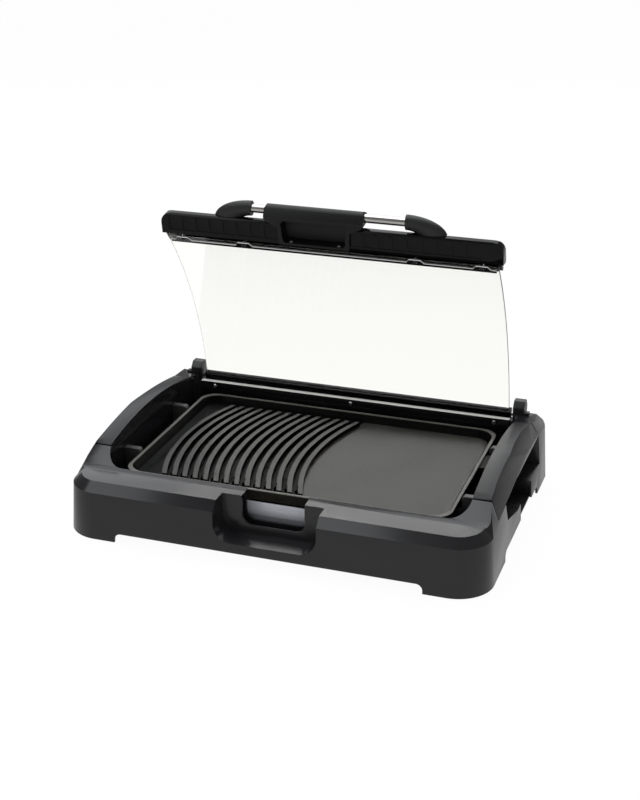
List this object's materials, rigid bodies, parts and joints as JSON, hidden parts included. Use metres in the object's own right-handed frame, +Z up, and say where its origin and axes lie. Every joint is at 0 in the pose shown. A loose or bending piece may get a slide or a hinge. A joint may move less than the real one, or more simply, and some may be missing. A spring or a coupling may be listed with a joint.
{
  "type": "electric indoor grill with glass lid",
  "caption": "Table-top electric grill: arched moulded base, lift-out ribbed and flat plate over a drip tray, and a hinged curved glass lid with a tube handle.",
  "frame": {"origin": "centre of the bounding box at the height of the underside of the foot pads, lid open as stored", "axes": "+X to the right as seen from the front, +Y to the back where the lid is hinged, +Z up"},
  "size_m": [0.5798, 0.3998, 0.4096],
  "materials": {
    "housing": "satin moulded black",
    "floor": "matt moulded black",
    "cover": "satin moulded black",
    "guard": "gloss black",
    "bracket": "matt black",
    "screw_steel": "plated",
    "support": "mid grey",
    "phenolic": "matt black phenolic",
    "pad": "matt",
    "tray_metal": "bright aluminised sheet",
    "non_stick": "dark non-stick coat on a die casting",
    "element_steel": "heat darkened sheath",
    "clip_steel": "spring strip",
    "ceramic": "matt",
    "pin_steel": "bright",
    "glass": "clear, faintly warm",
    "trim": "gloss black",
    "rail": "matt black",
    "tube_steel": "polished stainless",
    "grip": "soft matt black"
  },
  "bodies": {
    "base": {"base_shell": "housing", "base_floor": "floor", "side_cover_left": "cover", "side_cover_right": "cover", "rear_guard": "guard", "rear_guard_screws": "screw_steel", "hinge_bracket_left": "bracket", "hinge_bracket_right": "bracket", "bracket_screws": "screw_steel", "plate_supports": "support", "inlet_shroud": "phenolic", "inlet_screws": "screw_steel", "foot_pads": "pad", "floor_screws": "screw_steel"},
    "lid": {"lid_glass": "glass", "lid_front_trim": "trim", "lid_rear_rail": "rail", "hinge_pins": "pin_steel", "glass_clamp": "trim", "trim_screws": "screw_steel", "handle_tube": "tube_steel", "handle_arm_left": "grip", "handle_arm_right": "grip", "arm_screws": "screw_steel", "handle_grip": "grip", "grip_screws": "screw_steel"},
    "tray": {"drip_tray": "tray_metal"},
    "plate": {"grill_plate": "non_stick", "heating_element": "element_steel", "element_clips": "clip_steel", "clip_screws": "screw_steel", "terminal_block": "ceramic", "terminal_pins": "pin_steel", "sensor_tube": "clip_steel"}
  },
  "joints": [
    {"name": "lid_hinge", "type": "hinge", "parent": "base", "child": "lid", "pos_m": [0, 0.183, 0.093], "axis": [1, 0, 0], "range_deg": [-20, 65]},
    {"name": "tray_lift", "type": "slide", "parent": "base", "child": "tray", "axis": [0, -0.1736, 0.9848], "range_m": [0, 0.128]},
    {"name": "plate_lift", "type": "slide", "parent": "tray", "child": "plate", "axis": [0, -0.1736, 0.9848], "range_m": [0, 0.09]}
  ]
}
